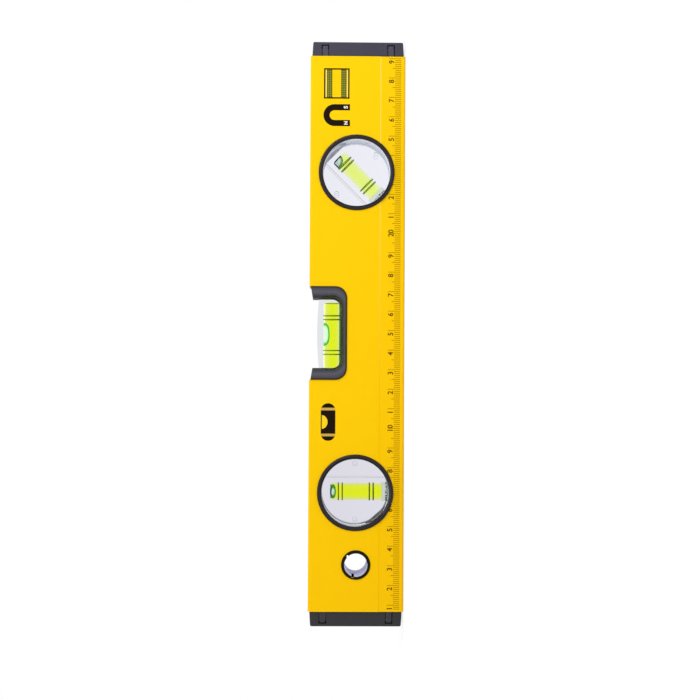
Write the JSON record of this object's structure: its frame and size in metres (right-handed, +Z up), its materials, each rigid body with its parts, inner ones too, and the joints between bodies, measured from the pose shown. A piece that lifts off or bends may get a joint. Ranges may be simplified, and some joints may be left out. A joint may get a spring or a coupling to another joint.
{
  "type": "magnetic spirit level",
  "caption": "Short box-section spirit level with level, plumb and 45 degree vials, a printed ruler edge, a bushed hanging hole, a magnetic milled base and moulded end caps.",
  "frame": {"origin": "middle of the milled base, at the bottom centre of the bounding box", "axes": "+X along the level away from the hanging hole, -Y out of the front face, +Z up to the edge with the level vial"},
  "size_m": [0.3, 0.0226, 0.0488],
  "materials": {
    "level_body": "smooth satin powder coat on aluminium, the base milled bare",
    "grey_plastic": "satin moulded plastic",
    "black_plastic": "polished moulded plastic",
    "clear_acrylic": "clear polished acrylic",
    "vial_plug": "translucent bonded plug",
    "vial_fluid": "yellow-green vial fluid",
    "marking_ring": "thin dark ring",
    "magnet": "plated magnet",
    "keeper_steel": "bright steel strip"
  },
  "bodies": {
    "root": {"frame_profile": "level_body", "left_end_cap": "grey_plastic", "right_end_cap": "grey_plastic", "window_bezel_front": "grey_plastic", "window_bezel_rear": "grey_plastic", "level_vial_block": "clear_acrylic", "level_vial_plug": "vial_plug", "level_vial_fluid": "vial_fluid", "level_vial_rings": "marking_ring", "plumb_bezel_front": "black_plastic", "plumb_bezel_rear": "black_plastic", "plumb_vial_disc": "clear_acrylic", "plumb_vial_plug": "vial_plug", "plumb_vial_fluid": "vial_fluid", "plumb_vial_rings": "marking_ring", "angle_bezel_front": "black_plastic", "angle_bezel_rear": "black_plastic", "angle_vial_disc": "clear_acrylic", "angle_vial_plug": "vial_plug", "angle_vial_fluid": "vial_fluid", "angle_vial_rings": "marking_ring", "hang_bush_front": "black_plastic", "hang_bush_rear": "black_plastic", "magnet_left": "magnet", "magnet_right": "magnet", "magnet_plate_left": "keeper_steel", "magnet_plate_right": "keeper_steel"}
  },
  "joints": []
}
